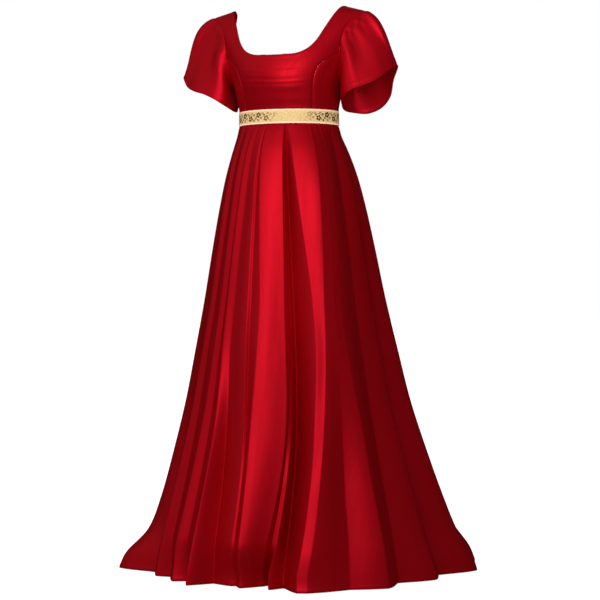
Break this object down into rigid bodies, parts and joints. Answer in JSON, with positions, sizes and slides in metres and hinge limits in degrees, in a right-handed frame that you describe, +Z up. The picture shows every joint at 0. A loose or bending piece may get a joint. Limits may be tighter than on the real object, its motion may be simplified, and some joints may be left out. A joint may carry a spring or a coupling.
{
  "type": "regency gown",
  "caption": "Empire-line satin gown, worn and hollow: scoop neck, flutter sleeves, brocade waist band, gathered floor-length skirt with a small train.",
  "frame": {"origin": "midway between the shoulders at the height of the shoulder seams, where the wearer's shoulders hold the gown up", "axes": "+Z up, the front of the gown faces -Y, the wearer's left is +X"},
  "size_m": [0.9583, 0.9981, 1.409],
  "materials": {
    "satin": "glossy satin",
    "brocade": "gold jacquard ribbon"
  },
  "bodies": {
    "root": {"bodice_front": "satin", "bodice_side_front_left": "satin", "bodice_side_front_right": "satin", "bodice_back_left": "satin", "bodice_back_right": "satin", "sleeve_left": "satin", "sleeve_right": "satin", "waist_band": "brocade", "skirt_front": "satin", "skirt_back_left": "satin", "skirt_back_right": "satin"}
  },
  "joints": []
}
